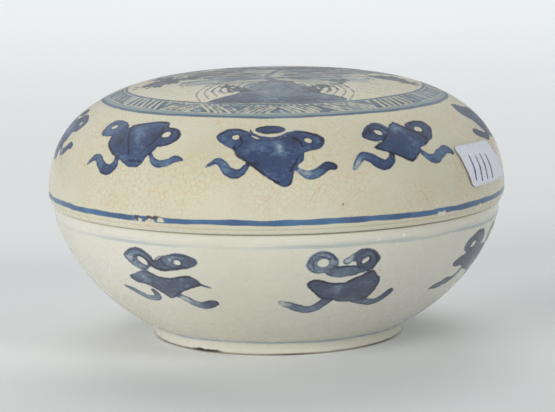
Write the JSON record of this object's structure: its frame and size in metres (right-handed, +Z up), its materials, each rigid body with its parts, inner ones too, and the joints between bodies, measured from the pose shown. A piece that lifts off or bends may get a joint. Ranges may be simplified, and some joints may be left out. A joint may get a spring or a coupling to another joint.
{
  "type": "porcelain trinket box",
  "caption": "Round porcelain box: a deep bowl on a low foot ring, with a domed lift-off lid that seats over a flange, and a paper label stuck on the lid.",
  "frame": {"origin": "centre of the foot ring, on the surface the box stands on", "axes": "+Z up along the turning axis; the label faces +X and a little towards -Y"},
  "size_m": [0.164, 0.164, 0.0938],
  "materials": {
    "body_glaze": "greyish white glaze with underglaze blue brushwork, unglazed foot rim",
    "lid_glaze": "warm ivory crackled glaze with underglaze blue brushwork",
    "label_paper": "matt white self-adhesive paper"
  },
  "bodies": {
    "box": {"box_body": "body_glaze"},
    "lid": {"lid": "lid_glaze", "paper_label": "label_paper"}
  },
  "joints": [
    {"name": "lid_lift", "type": "slide", "parent": "box", "child": "lid", "axis": [0, 0, 1], "range_m": [0, 0.1]}
  ]
}
